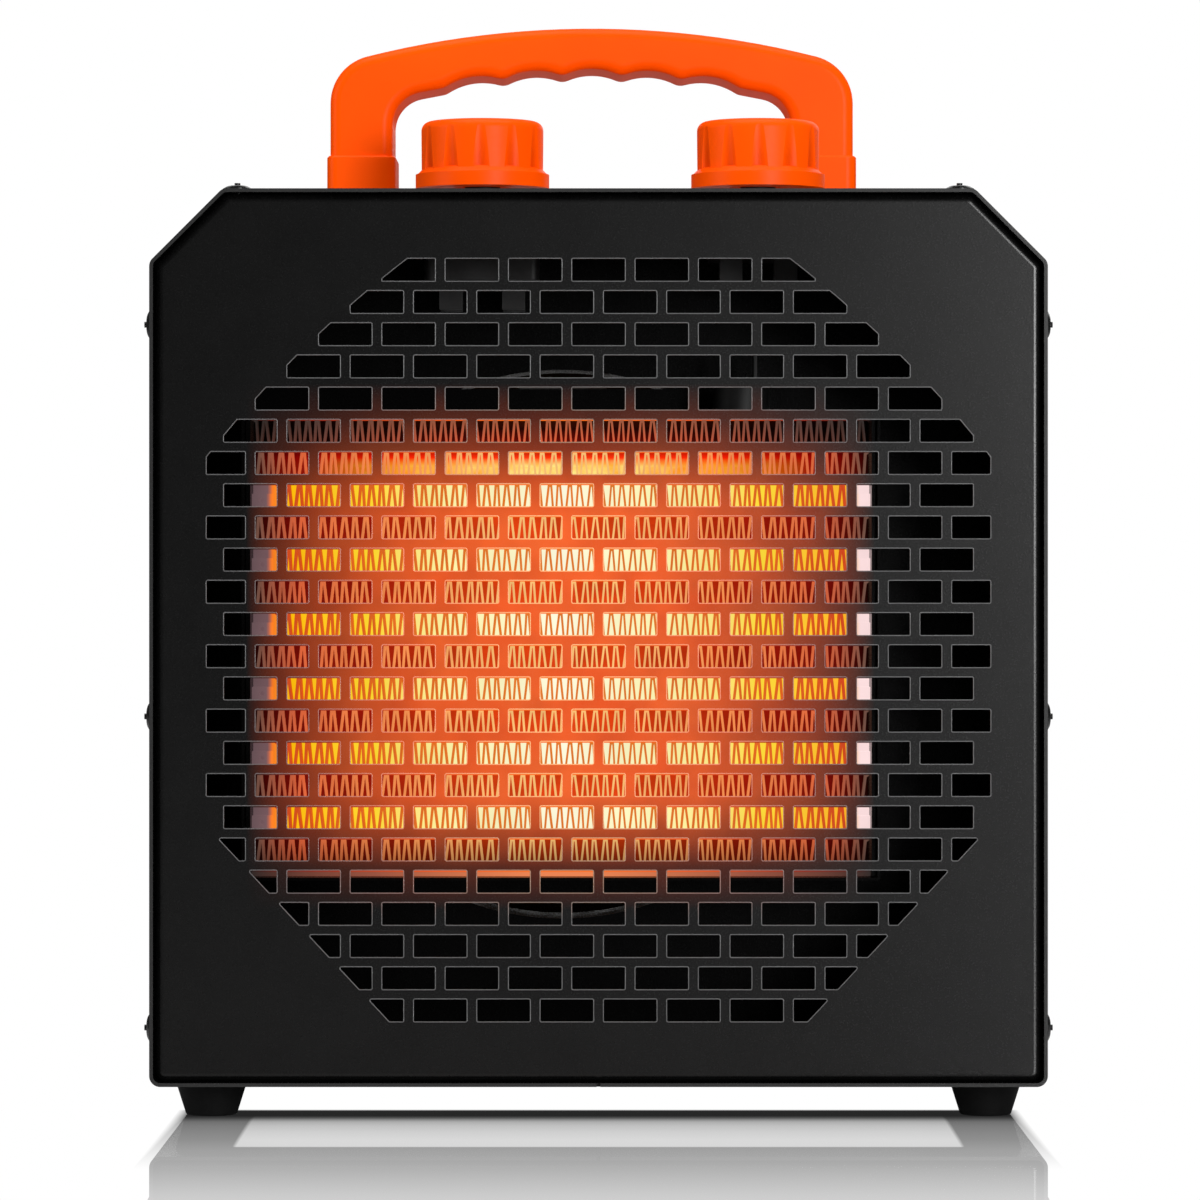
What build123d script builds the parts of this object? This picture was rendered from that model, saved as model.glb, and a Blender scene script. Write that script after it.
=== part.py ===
"""Portable electric fan heater: folded steel case, glowing ceramic element, orange handle and knobs.

Millimetres. X runs to the right, Y runs from the front grille to the back, Z runs up.
The origin is on the floor, in the middle of the whole length and width.
"""
from build123d import *
from math import sin, sqrt
import os

os.makedirs("parts", exist_ok=True)

# Case
body_width = 245.0
body_depth = 190.0
body_height = 245.0
corner_cut = 20.0
corner_radius = 3.0
foot_height = 9.5
sheet = 1.0
sheet_gap = 0.2
panel_setback = 2.0
panel_bend = 2.5
flange_depth = 16.0
foot_flange = 40.0
cover_hem = 122.0
pan_wall = 9.0
pan_corner = 2.0

# Front grille
grille_rows = 24
row_pitch = 8.79
column_pitch = 17.28
window_width = 14.65
window_height = 6.3
window_radius = 0.45
grille_half_width = 107.1
grille_centre_z = 131.3
grille_shoulder_x = 52.2
grille_shoulder_z = 50.0
grille_bulge = 3.4
grille_hip_x = 57.1
grille_hip_z = 50.7
smallest_window = 20.0

# Feet
foot_top_radius = 10.0
foot_bottom_radius = 7.0
foot_inset_x = 15.5
foot_inset_y = 22.0
foot_recess_radius = 4.6
foot_recess_depth = 5.0

# Fasteners
screw_radius = 2.0
screw_head_radius = 4.0
screw_head_height = 2.4
thread_gap = 0.05
nut_flats = 7.0
nut_height = 3.0
rivet_head_radius = 4.0
rivet_head_height = 1.4
rivet_shank_radius = 2.0
rivet_stem_radius = 0.8
rivet_stem_reach = 0.6
rivet_rim = 0.5
rivet_bulb = 2.5
rivet_inset = 9.0
rivet_heights = (25.0, 110.3, 217.7)
rivet_top_x = 99.0

# Handle
handle_x = -2.0
handle_behind = 100.0
handle_span = 150.8
handle_rise = 52.3
handle_width = 28.0
handle_crown_radius = 260.0
shoulder_radius = 14.0
leg_width = 18.0
grip_thickness = 11.7
finger_pitch = 17.0
finger_count = 5
finger_ridge = 2.0
ridge_radius = 4.5
grip_bend_radius = 9.5
handle_edge = 3.0
collar_height = 15.4
collar_lip = 0.9
handle_screw_reach = 14.0
handle_screw_spread = 14.0

# Knobs and controls
power_x = -32.7
thermostat_x = 44.9
control_behind = 50.0
knob_gap = 3.3
knob_flange_radius = 18.8
knob_flange_height = 3.9
knob_grip_radius = 17.2
knob_height = 18.8
knob_cone = 1.6
knob_flutes = 12
flute_radius = 5.0
flute_depth = 1.1
flute_taper = 3.2
knob_top_edge = 2.6
knob_recess_radius = 9.0
knob_recess_depth = 4.5
pointer_width = 1.4
pointer_length = 8.0
pointer_start = 12.5
pointer_depth = 0.6
shaft_radius = 3.0
shaft_flat = 1.3
shaft_gap = 0.05
bush_radius = 5.0
bush_reach = 4.5
panel_nut_flats = 14.0
panel_nut_height = 2.2
switch_size = (32.0, 26.0, 22.0)
thermostat_size = (28.0, 26.0, 16.0)
tag_size = (6.3, 0.8, 8.0)
shaft_depth = 10.0

# Heating element
element_x = -10.4
element_bottom = 66.8
element_behind = 25.0
element_width = 171.6
element_depth = 25.0
strip_pitch = 8.94
strip_count = 14
bar_rows = (3, 5, 7, 9, 11, 13)
fin_period = 2.9
fin_sheet = 0.5
fin_flat = 0.35
fin_wobble = 0.16
separator = 0.4
braze_gap = 0.02
front_fin_depth = 8.0
bar_gap = 0.2
end_block_height = 3.6
end_block_left = 5.6
end_block_right = 3.6
end_block_setback = 2.0
terminal_hole = 0.7
element_plate = 1.2
bracket_sheet = 1.2
duct_gap = 0.3

# Air path and fan
duct_sheet = 0.8
duct_lead = 2.0
bulkhead_behind = 64.0
duct_lip = 8.0
fan_z = 129.4
fan_radius = 75.0
fan_tip_gap = 3.0
fan_ring_depth = 27.0
fan_behind = 68.0
fan_depth = 22.0
fan_blades = 5
blade_sheet = 1.6
hub_radius = 17.0
hub_wall = 3.0
bulkhead_foot = 14.0

# Motor
motor_behind = 112.0
stator_depth = 20.0
stator_half_width = 31.0
stator_top = 24.0
stator_limb = 9.0
stator_window_top = 20.0
stator_window_bottom = 44.0
stator_bottom = 56.0
coil_build = 8.0
coil_half_width = 20.0
coil_gap = 0.3
rotor_radius = 13.0
air_gap = 0.5
motor_shaft_radius = 2.0
bearing_radius = 4.5
bearing_length = 6.0
bearing_gap = 0.05
bracket_plate = 2.0
bracket_standoff = 5.0
bracket_half_height = 9.0
strap_sheet = 1.5
strap_width = 26.0
strap_foot = 12.0

# Back
intake_radius = 74.0
intake_hole_radius = 2.6
intake_pitch = 8.0
gland_x = 84.0
gland_z = 36.0
gland_reach = 12.0
gland_bore_radius = 3.75
gland_thread_radius = 8.0
gland_head_radius = 11.0
gland_inside = 10.0
gland_flats = 22.0
gland_nut_height = 4.0
terminal_size = (36.0, 17.0, 15.0)
terminal_ways = 3
terminal_behind = 158.0
cutout_radius = 8.0
cutout_height = 9.0
cutout_flange = (24.0, 10.0, 0.8)
cutout_x = 40.0
cutout_behind = 44.0

# Places worked out from the sizes above
front_y = -(body_depth + gland_reach) / 2
back_y = front_y + body_depth
cover_top = foot_height + body_height
case_floor = foot_height + sheet
pan_floor = case_floor + 2 * sheet
panel_y = front_y + panel_setback
rear_panel_y = back_y - panel_setback
foot_x = body_width / 2 - foot_inset_x
foot_places = [
    (side * foot_x, y) for y in (front_y + foot_inset_y, back_y - foot_inset_y) for side in (-1, 1)
]
handle_y = front_y + handle_behind
control_y = front_y + control_behind
element_y = front_y + element_behind
element_height = strip_count * strip_pitch + separator
bulkhead_y = front_y + bulkhead_behind
duct_half_width = element_width / 2 + bracket_sheet + 2 * duct_gap
duct_bottom = element_bottom - element_plate - duct_gap
duct_top = element_bottom + element_height + element_plate + duct_gap
motor_y = front_y + motor_behind
fan_y = front_y + fan_behind


def upright(y):
    """Vertical sketch plane at depth y, seen from the front: sketch x to the right, sketch y up."""
    return Plane(origin=(0, y, 0), x_dir=(1, 0, 0), z_dir=(0, -1, 0))


def case_outline(inset, floor):
    """Corners of the case seen from the front, drawn in by inset from the outside of the cover."""
    half = body_width / 2 - inset
    top = cover_top - inset
    cut = corner_cut - inset * (2 - sqrt(2))
    return [
        (-half, floor), (half, floor), (half, top - cut), (half - cut, top),
        (-half + cut, top), (-half, top - cut),
    ]


def hexagon(flats):
    """Radius to the corners of a hexagon that measures flats across its sides."""
    return flats / sqrt(3)


# Cover: one folded sheet over the top and sides, hemmed under the bottom
cover_inner = sheet + sheet_gap
with BuildPart() as cover_shell:
    with BuildSketch(upright(front_y)) as cover_face:
        with BuildLine():
            Polyline(*case_outline(0, foot_height), close=True)
        make_face()
        fillet(cover_face.vertices(), corner_radius)
        offset(amount=-sheet, mode=Mode.SUBTRACT)
        with Locations((0, foot_height)):
            Rectangle(body_width - 2 * cover_hem, 4 * sheet, mode=Mode.SUBTRACT)
    extrude(amount=-body_depth)
    for y in (front_y + rivet_inset, back_y - rivet_inset):
        with BuildSketch(Plane.YZ.offset(-body_width)):
            with Locations(*[(y, z) for z in rivet_heights]):
                Circle(rivet_shank_radius + thread_gap)
        extrude(amount=2 * body_width, mode=Mode.SUBTRACT)
        with BuildSketch(Plane.XY.offset(cover_top - 2 * sheet)):
            with Locations((-rivet_top_x, y), (rivet_top_x, y)):
                Circle(rivet_shank_radius + thread_gap)
        extrude(amount=4 * sheet, mode=Mode.SUBTRACT)
    with BuildSketch(Plane.XY.offset(cover_top - 2 * sheet)):
        with Locations((power_x, control_y), (thermostat_x, control_y)):
            Circle(bush_radius + sheet_gap)
        leg_x = (handle_span - leg_width) / 2
        with Locations((handle_x - leg_x, handle_y), (handle_x + leg_x, handle_y)):
            with GridLocations(0, handle_screw_spread, 1, 2):
                Circle(screw_radius + thread_gap)
    extrude(amount=4 * sheet, mode=Mode.SUBTRACT)
    with BuildSketch(Plane.XY.offset(foot_height - sheet)):
        with Locations(*foot_places):
            Circle(screw_radius + thread_gap)
    extrude(amount=3 * sheet, mode=Mode.SUBTRACT)
cover_shell.part.label = "cover_shell"
export_step(cover_shell.part, "parts/cover_shell.step")


# Front grille windows: bricks in running bond, cut off along the grille's outline
grille_half_height = ((grille_rows - 1) * row_pitch + window_height) / 2
shoulder_middle = (
    (grille_half_width + grille_shoulder_x + grille_bulge) / 2,
    (grille_shoulder_z + grille_half_height + grille_bulge) / 2,
)
columns = int(grille_half_width / column_pitch) + 1
window_spots = [
    ((column + (row % 2) / 2) * column_pitch, ((grille_rows - 1) / 2 - row) * row_pitch)
    for row in range(grille_rows)
    for column in range(-columns, columns + 1)
]
with BuildSketch() as grille_outline:
    with BuildLine():
        for side in (1, -1):
            ThreePointArc(
                (side * grille_shoulder_x, grille_half_height),
                (side * shoulder_middle[0], shoulder_middle[1]),
                (side * grille_half_width, grille_shoulder_z),
            )
            Polyline(
                (side * grille_half_width, grille_shoulder_z),
                (side * grille_half_width, -grille_hip_z),
                (side * grille_hip_x, -grille_half_height),
            )
        Line((-grille_shoulder_x, grille_half_height), (grille_shoulder_x, grille_half_height))
        Line((-grille_hip_x, -grille_half_height), (grille_hip_x, -grille_half_height))
    make_face()
with BuildSketch() as windows:
    with Locations(*window_spots):
        Rectangle(window_width, window_height)
    add(grille_outline.sketch, mode=Mode.INTERSECT)
window_faces = [
    window.fillet_2d(
        min(window_radius, 0.3 * min(edge.length for edge in window.edges())), window.vertices()
    )
    for window in windows.faces()
    if window.area > smallest_window
]

# Front panel: a shallow pan with rounded bends, punched with the windows
with BuildPart() as front_panel:
    with BuildSketch(upright(panel_y)) as panel_face:
        with BuildLine():
            Polyline(*case_outline(cover_inner, case_floor), close=True)
        make_face()
        fillet(panel_face.vertices(), corner_radius)
    extrude(amount=-flange_depth)
    fillet(front_panel.faces().sort_by(Axis.Y)[0].edges(), panel_bend)
    offset(amount=-sheet, openings=front_panel.faces().sort_by(Axis.Y)[-1])
    with BuildSketch(Plane.XY.offset(case_floor)):
        with Locations((0, panel_y + panel_bend)):
            Rectangle(
                body_width - 2 * cover_inner - 2 * corner_radius, foot_flange - panel_bend,
                align=(Align.CENTER, Align.MIN),
            )
    extrude(amount=sheet)
    with BuildSketch(upright(panel_y - sheet)):
        with Locations((0, grille_centre_z)):
            add(window_faces)
    extrude(amount=-3 * sheet, mode=Mode.SUBTRACT)
    with BuildSketch(Plane.YZ.offset(-body_width)):
        with Locations(*[(front_y + rivet_inset, z) for z in rivet_heights]):
            Circle(rivet_shank_radius + thread_gap)
    extrude(amount=2 * body_width, mode=Mode.SUBTRACT)
    with BuildSketch(Plane.XY.offset(cover_top - 4 * sheet)):
        with Locations((-rivet_top_x, front_y + rivet_inset), (rivet_top_x, front_y + rivet_inset)):
            Circle(rivet_shank_radius + thread_gap)
    extrude(amount=6 * sheet, mode=Mode.SUBTRACT)
    with BuildSketch(Plane.XY.offset(case_floor - sheet)):
        with Locations(*foot_places[:2]):
            Circle(screw_radius + thread_gap)
    extrude(amount=3 * sheet, mode=Mode.SUBTRACT)
front_panel.part.label = "front_panel"
export_step(front_panel.part, "parts/front_panel.step")


# Rear panel: the same pan turned round, with a round field of intake holes and the cord inlet
intake_spots = []
intake_steps = int(intake_radius / intake_pitch) + 2
for step in range(-2 * intake_steps, 2 * intake_steps + 1):
    for column in range(-2 * intake_steps, 2 * intake_steps + 1):
        x = (column + (step % 2) / 2) * intake_pitch
        z = step * intake_pitch * sqrt(3) / 2
        if x * x + z * z < intake_radius * intake_radius:
            intake_spots.append((x, z))
with BuildPart() as rear_panel:
    with BuildSketch(upright(rear_panel_y)) as rear_face:
        with BuildLine():
            Polyline(*case_outline(cover_inner, case_floor), close=True)
        make_face()
        fillet(rear_face.vertices(), corner_radius)
    extrude(amount=flange_depth)
    fillet(rear_panel.faces().sort_by(Axis.Y)[-1].edges(), panel_bend)
    offset(amount=-sheet, openings=rear_panel.faces().sort_by(Axis.Y)[0])
    with BuildSketch(Plane.XY.offset(case_floor)):
        with Locations((0, rear_panel_y - panel_bend)):
            Rectangle(
                body_width - 2 * cover_inner - 2 * corner_radius, foot_flange - panel_bend,
                align=(Align.CENTER, Align.MAX),
            )
    extrude(amount=sheet)
    with BuildSketch(upright(rear_panel_y + sheet)):
        with Locations((element_x, fan_z)):
            with Locations(*intake_spots):
                Circle(intake_hole_radius)
        with Locations((gland_x, gland_z)):
            Circle(gland_thread_radius + thread_gap)
    extrude(amount=-3 * sheet, both=True, mode=Mode.SUBTRACT)
    with BuildSketch(Plane.YZ.offset(-body_width)):
        with Locations(*[(back_y - rivet_inset, z) for z in rivet_heights]):
            Circle(screw_radius + thread_gap)
    extrude(amount=2 * body_width, mode=Mode.SUBTRACT)
    with BuildSketch(Plane.XY.offset(cover_top - 4 * sheet)):
        with Locations((-rivet_top_x, back_y - rivet_inset), (rivet_top_x, back_y - rivet_inset)):
            Circle(screw_radius + thread_gap)
    extrude(amount=6 * sheet, mode=Mode.SUBTRACT)
    with BuildSketch(Plane.XY.offset(case_floor - sheet)):
        with Locations(*foot_places[2:]):
            Circle(screw_radius + thread_gap)
    extrude(amount=3 * sheet, mode=Mode.SUBTRACT)
rear_panel.part.label = "rear_panel"
export_step(rear_panel.part, "parts/rear_panel.step")


# Base pan: tray that lies on the bottom flanges of both panels and carries the inside
pan_half_width = body_width / 2 - cover_inner - sheet - sheet_gap
pan_front = panel_y + sheet + sheet_gap
pan_depth = rear_panel_y - panel_y - 2 * (sheet + sheet_gap)
pan_inner_gap = panel_bend + sheet
bulkhead_screws = [(-60.0, bulkhead_y + 8.0), (60.0, bulkhead_y + 8.0)]
with BuildPart() as base_pan:
    with BuildSketch(upright(pan_front + pan_inner_gap)) as pan_face:
        with Locations((0, pan_floor - sheet)):
            Rectangle(2 * pan_half_width, pan_wall, align=(Align.CENTER, Align.MIN))
        with Locations((0, pan_floor)):
            Rectangle(2 * (pan_half_width - sheet), pan_wall, align=(Align.CENTER, Align.MIN),
                      mode=Mode.SUBTRACT)
        fillet(pan_face.vertices().group_by(Axis.Y)[0], pan_corner)
    extrude(amount=-(pan_depth - 2 * pan_inner_gap))
    with BuildSketch(Plane.XY.offset(pan_floor - 2 * sheet)):
        with Locations(*foot_places, *bulkhead_screws):
            Circle(screw_radius + thread_gap)
    extrude(amount=3 * sheet, mode=Mode.SUBTRACT)
base_pan.part.label = "base_pan"
export_step(base_pan.part, "parts/base_pan.step")


# Feet: tapered rubber, hollowed below for the screw's head
foot_names = ("foot_front_left", "foot_front_right", "foot_rear_left", "foot_rear_right")
for name, place in zip(foot_names, foot_places):
    with BuildPart() as foot:
        with BuildSketch():
            with Locations(place):
                Circle(foot_bottom_radius)
        with BuildSketch(Plane.XY.offset(foot_height)):
            with Locations(place):
                Circle(foot_top_radius)
        loft()
        fillet(foot.faces().sort_by(Axis.Z)[0].edges(), 0.8)
        with Locations((*place, 0)):
            Cylinder(foot_recess_radius, foot_recess_depth, mode=Mode.SUBTRACT,
                     align=(Align.CENTER, Align.CENTER, Align.MIN))
            Cylinder(screw_radius + thread_gap, foot_height, mode=Mode.SUBTRACT,
                     align=(Align.CENTER, Align.CENTER, Align.MIN))
    foot.part.label = name
    export_step(foot.part, f"parts/{name}.step")

# Foot screws with their nuts, through foot, hem, panel flange and pan
with BuildPart() as foot_screws:
    with BuildSketch(Plane.XY.offset(foot_recess_depth - screw_head_height)):
        with Locations(*foot_places):
            Circle(screw_head_radius)
    extrude(amount=screw_head_height)
    fillet(foot_screws.faces().group_by(Axis.Z)[0].edges(), 0.8)
    with BuildSketch(Plane.XY.offset(foot_recess_depth)):
        with Locations(*foot_places):
            Circle(screw_radius)
    extrude(amount=pan_floor + nut_height + 1.0 - foot_recess_depth)
    with BuildSketch(Plane.XY.offset(pan_floor)):
        with Locations(*foot_places):
            RegularPolygon(hexagon(nut_flats), 6)
            Circle(screw_radius + thread_gap, mode=Mode.SUBTRACT)
    extrude(amount=nut_height)
foot_screws.part.label = "foot_screws"
export_step(foot_screws.part, "parts/foot_screws.step")


# Blind rivets of the front panel: domed head, broken stem in the middle, set bulb inside
rivet_grip = 2 * sheet + sheet_gap
rivet_y = front_y + rivet_inset
rivet_planes = [
    Plane(origin=(side * body_width / 2, rivet_y, z), x_dir=(0, 1, 0), z_dir=(side, 0, 0))
    for z in rivet_heights
    for side in (-1, 1)
]
rivet_planes += [
    Plane(origin=(x, rivet_y, cover_top), x_dir=(0, 1, 0), z_dir=(0, 0, 1))
    for x in (-rivet_top_x, rivet_top_x)
]
with BuildPart(mode=Mode.PRIVATE) as rivet:
    with BuildSketch(Plane.XZ):
        with BuildLine():
            Polyline(
                (0, -rivet_grip - rivet_bulb), (rivet_shank_radius, -rivet_grip - rivet_bulb),
                (rivet_shank_radius + 0.8, -rivet_grip - 0.3), (rivet_shank_radius, -rivet_grip),
                (rivet_shank_radius, 0), (rivet_head_radius, 0), (rivet_head_radius, rivet_rim),
            )
            ThreePointArc(
                (rivet_head_radius, rivet_rim), (rivet_head_radius * 0.72, rivet_head_height * 0.8),
                (rivet_stem_radius * 1.6, rivet_head_height),
            )
            Polyline(
                (rivet_stem_radius * 1.6, rivet_head_height),
                (rivet_stem_radius, rivet_head_height - 0.3),
                (rivet_stem_radius, rivet_head_height + rivet_stem_reach),
                (0, rivet_head_height + rivet_stem_reach),
                (0, -rivet_grip - rivet_bulb),
            )
        make_face()
    revolve(axis=Axis.Z)
with BuildPart() as front_rivets:
    with Locations(*rivet_planes):
        add(rivet.part)
front_rivets.part.label = "front_rivets"
export_step(front_rivets.part, "parts/front_rivets.step")

# Rear panel screws: cross-headed, on the same lines as the rivets
screw_y = back_y - rivet_inset
rear_screw_planes = [
    Plane(origin=(side * body_width / 2, screw_y, z), x_dir=(0, 1, 0), z_dir=(side, 0, 0))
    for z in rivet_heights
    for side in (-1, 1)
]
rear_screw_planes += [
    Plane(origin=(x, screw_y, cover_top), x_dir=(0, 1, 0), z_dir=(0, 0, 1))
    for x in (-rivet_top_x, rivet_top_x)
]
with BuildPart(mode=Mode.PRIVATE) as pan_screw:
    with BuildSketch():
        Circle(screw_head_radius)
    extrude(amount=rivet_head_height)
    fillet(pan_screw.faces().sort_by(Axis.Z)[-1].edges(), rivet_head_height * 0.6)
    with BuildSketch():
        Circle(screw_radius)
    extrude(amount=-rivet_grip - 3.0)
    with BuildSketch(Plane.XY.offset(rivet_head_height)):
        Rectangle(4.0, 0.9)
        Rectangle(0.9, 4.0)
    extrude(amount=-0.8, mode=Mode.SUBTRACT)
with BuildPart() as rear_screws:
    with Locations(*rear_screw_planes):
        add(pan_screw.part)
rear_screws.part.label = "rear_screws"
export_step(rear_screws.part, "parts/rear_screws.step")


# Handle: moulded arch with finger grooves under the grip and a collar round each leg
handle_top = cover_top + handle_rise
half_span = handle_span / 2
collar_top = cover_top + collar_height


def crown(x):
    """Height of the grip's crown line at a distance x from the handle's middle."""
    return handle_top - x * x / (2 * handle_crown_radius)


leg_inner = half_span - leg_width
groove_end = finger_count * finger_pitch / 2
ridge = grip_thickness + finger_ridge
with BuildPart() as handle:
    with BuildSketch(upright(handle_y - handle_width / 2)) as handle_face:
        with BuildLine():
            ThreePointArc(
                (half_span, crown(half_span)), (0, handle_top), (-half_span, crown(half_span))
            )
            for side in (-1, 1):
                Polyline(
                    (side * half_span, crown(half_span)), (side * half_span, cover_top),
                    (side * leg_inner, cover_top), (side * leg_inner, crown(leg_inner) - ridge),
                    (side * groove_end, crown(groove_end) - ridge),
                )
            for finger in range(finger_count):
                left = -groove_end + finger * finger_pitch
                right = left + finger_pitch
                middle = (left + right) / 2
                ThreePointArc(
                    (left, crown(left) - ridge), (middle, crown(middle) - grip_thickness),
                    (right, crown(right) - ridge),
                )
        make_face()
        upper = handle_face.vertices().filter_by(lambda v: v.Y > cover_top + 1)
        fillet(upper.filter_by(lambda v: abs(v.X) < groove_end + 1), ridge_radius)
        upper = handle_face.vertices().filter_by(lambda v: v.Y > cover_top + 1)
        fillet(upper.filter_by(lambda v: abs(abs(v.X) - leg_inner) < 0.01), grip_bend_radius)
        upper = handle_face.vertices().filter_by(lambda v: v.Y > cover_top + 1)
        fillet(upper.filter_by(lambda v: abs(abs(v.X) - half_span) < 0.01), shoulder_radius)
    extrude(amount=-handle_width)
    rims = [
        edge
        for face in (handle.faces().sort_by(Axis.Y)[0], handle.faces().sort_by(Axis.Y)[-1])
        for edge in face.edges()
        if edge.center().Z > cover_top + 1
    ]
    fillet(rims, handle_edge)
    with BuildSketch(Plane.XY.offset(cover_top)):
        with Locations((-leg_x, handle_y), (leg_x, handle_y)):
            RectangleRounded(leg_width + 2 * collar_lip, handle_width + 2 * collar_lip, handle_edge)
    extrude(amount=collar_height)
    chamfer(
        [edge for edge in handle.edges().filter_by(GeomType.LINE)
         if abs(edge.center().Z - collar_top) < 0.01
         and abs(abs(edge.center().Y - handle_y) - handle_width / 2 - collar_lip) < 0.01],
        0.5,
    )
    with BuildSketch(Plane.XY.offset(cover_top)):
        with Locations((-leg_x, handle_y), (leg_x, handle_y)):
            with GridLocations(0, handle_screw_spread, 1, 2):
                Circle(screw_radius + thread_gap)
    extrude(amount=handle_screw_reach + 1.0, mode=Mode.SUBTRACT)
with BuildPart() as handle_placed:
    with Locations((handle_x, 0, 0)):
        add(handle.part)
handle_placed.part.label = "handle"
export_step(handle_placed.part, "parts/handle.step")

# Handle screws, driven up from inside the cover
with BuildPart() as handle_screws:
    with BuildSketch(Plane.XY.offset(cover_top - sheet)) as screw_spots:
        with Locations((handle_x - leg_x, handle_y), (handle_x + leg_x, handle_y)):
            with GridLocations(0, handle_screw_spread, 1, 2):
                Circle(screw_head_radius)
    extrude(amount=-screw_head_height)
    with BuildSketch(Plane.XY.offset(cover_top - sheet)):
        with Locations((handle_x - leg_x, handle_y), (handle_x + leg_x, handle_y)):
            with GridLocations(0, handle_screw_spread, 1, 2):
                Circle(screw_radius)
    extrude(amount=sheet + handle_screw_reach)
handle_screws.part.label = "handle_screws"
export_step(handle_screws.part, "parts/handle_screws.step")


# Knobs: flanged grip with rounded flutes, a D bore and a pointer groove on top
knob_floor = cover_top + knob_gap
shaft_top = knob_floor + knob_height - 4.0
for name, x in (("knob_power", power_x), ("knob_thermostat", thermostat_x)):
    with BuildPart() as knob:
        with BuildSketch(Plane.XY.offset(knob_floor)):
            with Locations((x, control_y)):
                Circle(knob_grip_radius)
        extrude(amount=knob_height)
        fillet(knob.edges().group_by(Axis.Z)[-1], knob_top_edge)
        with BuildSketch(Plane.XY.offset(knob_floor)):
            with Locations((x, control_y)):
                with PolarLocations(knob_grip_radius + flute_radius - flute_depth, knob_flutes):
                    Circle(flute_radius)
        extrude(amount=knob_height, taper=flute_taper, mode=Mode.SUBTRACT)
        with BuildSketch(Plane.XY.offset(knob_floor)):
            with Locations((x, control_y)):
                Circle(knob_flange_radius)
        extrude(amount=knob_flange_height)
        with BuildSketch(Plane.XY.offset(knob_floor + knob_flange_height)):
            with Locations((x, control_y)):
                Circle(knob_flange_radius - 0.4)
        extrude(amount=knob_cone, taper=45)
        with BuildSketch(Plane.XY.offset(knob_floor)):
            with Locations((x, control_y)):
                Circle(knob_recess_radius)
        extrude(amount=knob_recess_depth, mode=Mode.SUBTRACT)
        with BuildSketch(Plane.XY.offset(knob_floor)) as bore:
            with Locations((x, control_y)):
                Circle(shaft_radius + shaft_gap)
            with Locations((x, control_y - shaft_radius)):
                Rectangle(2 * shaft_radius + 1, 2 * (shaft_flat - shaft_gap), mode=Mode.SUBTRACT)
        extrude(amount=shaft_top + 0.2 - knob_floor, mode=Mode.SUBTRACT)
        with BuildSketch(Plane.XY.offset(knob_floor + knob_height)):
            with Locations((x, control_y - pointer_start + pointer_length / 2)):
                SlotOverall(pointer_length, pointer_width, rotation=90)
        extrude(amount=-pointer_depth, mode=Mode.SUBTRACT)
    knob.part.label = name
    export_step(knob.part, f"parts/{name}.step")

# Rotary switch and thermostat under the cover's top, each with its threaded bush and D shaft
control_ceiling = cover_top - sheet
for name, shaft_name, x, size in (
    ("switch_body", "switch_shaft", power_x, switch_size),
    ("thermostat_body", "thermostat_shaft", thermostat_x, thermostat_size),
):
    with BuildPart() as control:
        with BuildSketch(Plane.XY.offset(control_ceiling - size[2])):
            with Locations((x, control_y)):
                RectangleRounded(size[0], size[1], 2.0)
        extrude(amount=size[2])
        with BuildSketch(Plane.XY.offset(control_ceiling)):
            with Locations((x, control_y)):
                Circle(bush_radius)
        extrude(amount=sheet + bush_reach)
        with BuildSketch(Plane.XY.offset(control_ceiling - size[2])):
            with Locations((x, control_y)):
                with GridLocations(size[0] * 0.55, size[1] * 0.5, 2, 2):
                    Rectangle(tag_size[0], tag_size[1])
        extrude(amount=-tag_size[2])
        with BuildSketch(Plane.XY.offset(control_ceiling - shaft_depth - shaft_gap)):
            with Locations((x, control_y)):
                Circle(shaft_radius + shaft_gap)
        extrude(amount=shaft_depth + sheet + bush_reach + 1, mode=Mode.SUBTRACT)
    control.part.label = name
    export_step(control.part, f"parts/{name}.step")
    with BuildPart() as shaft:
        with BuildSketch(Plane.XY.offset(control_ceiling - shaft_depth)):
            with Locations((x, control_y)):
                Circle(shaft_radius)
        extrude(amount=shaft_top - control_ceiling + shaft_depth)
        with BuildSketch(Plane.XY.offset(cover_top + bush_reach)):
            with Locations((x, control_y - shaft_radius)):
                Rectangle(2 * shaft_radius + 1, 2 * shaft_flat)
        extrude(amount=shaft_top - cover_top - bush_reach, mode=Mode.SUBTRACT)
    shaft.part.label = shaft_name
    export_step(shaft.part, f"parts/{shaft_name}.step")

# Nuts that clamp both controls to the cover
with BuildPart() as panel_nuts:
    with BuildSketch(Plane.XY.offset(cover_top)):
        with Locations((power_x, control_y), (thermostat_x, control_y)):
            RegularPolygon(hexagon(panel_nut_flats), 6)
            Circle(bush_radius + thread_gap, mode=Mode.SUBTRACT)
    extrude(amount=panel_nut_height)
panel_nuts.part.label = "panel_nuts"
export_step(panel_nuts.part, "parts/panel_nuts.step")


# Heating element: fourteen rows of zigzag fins, six of them in front of a ceramic heating bar
element_left = element_x - element_width / 2
element_right = element_x + element_width / 2


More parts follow.
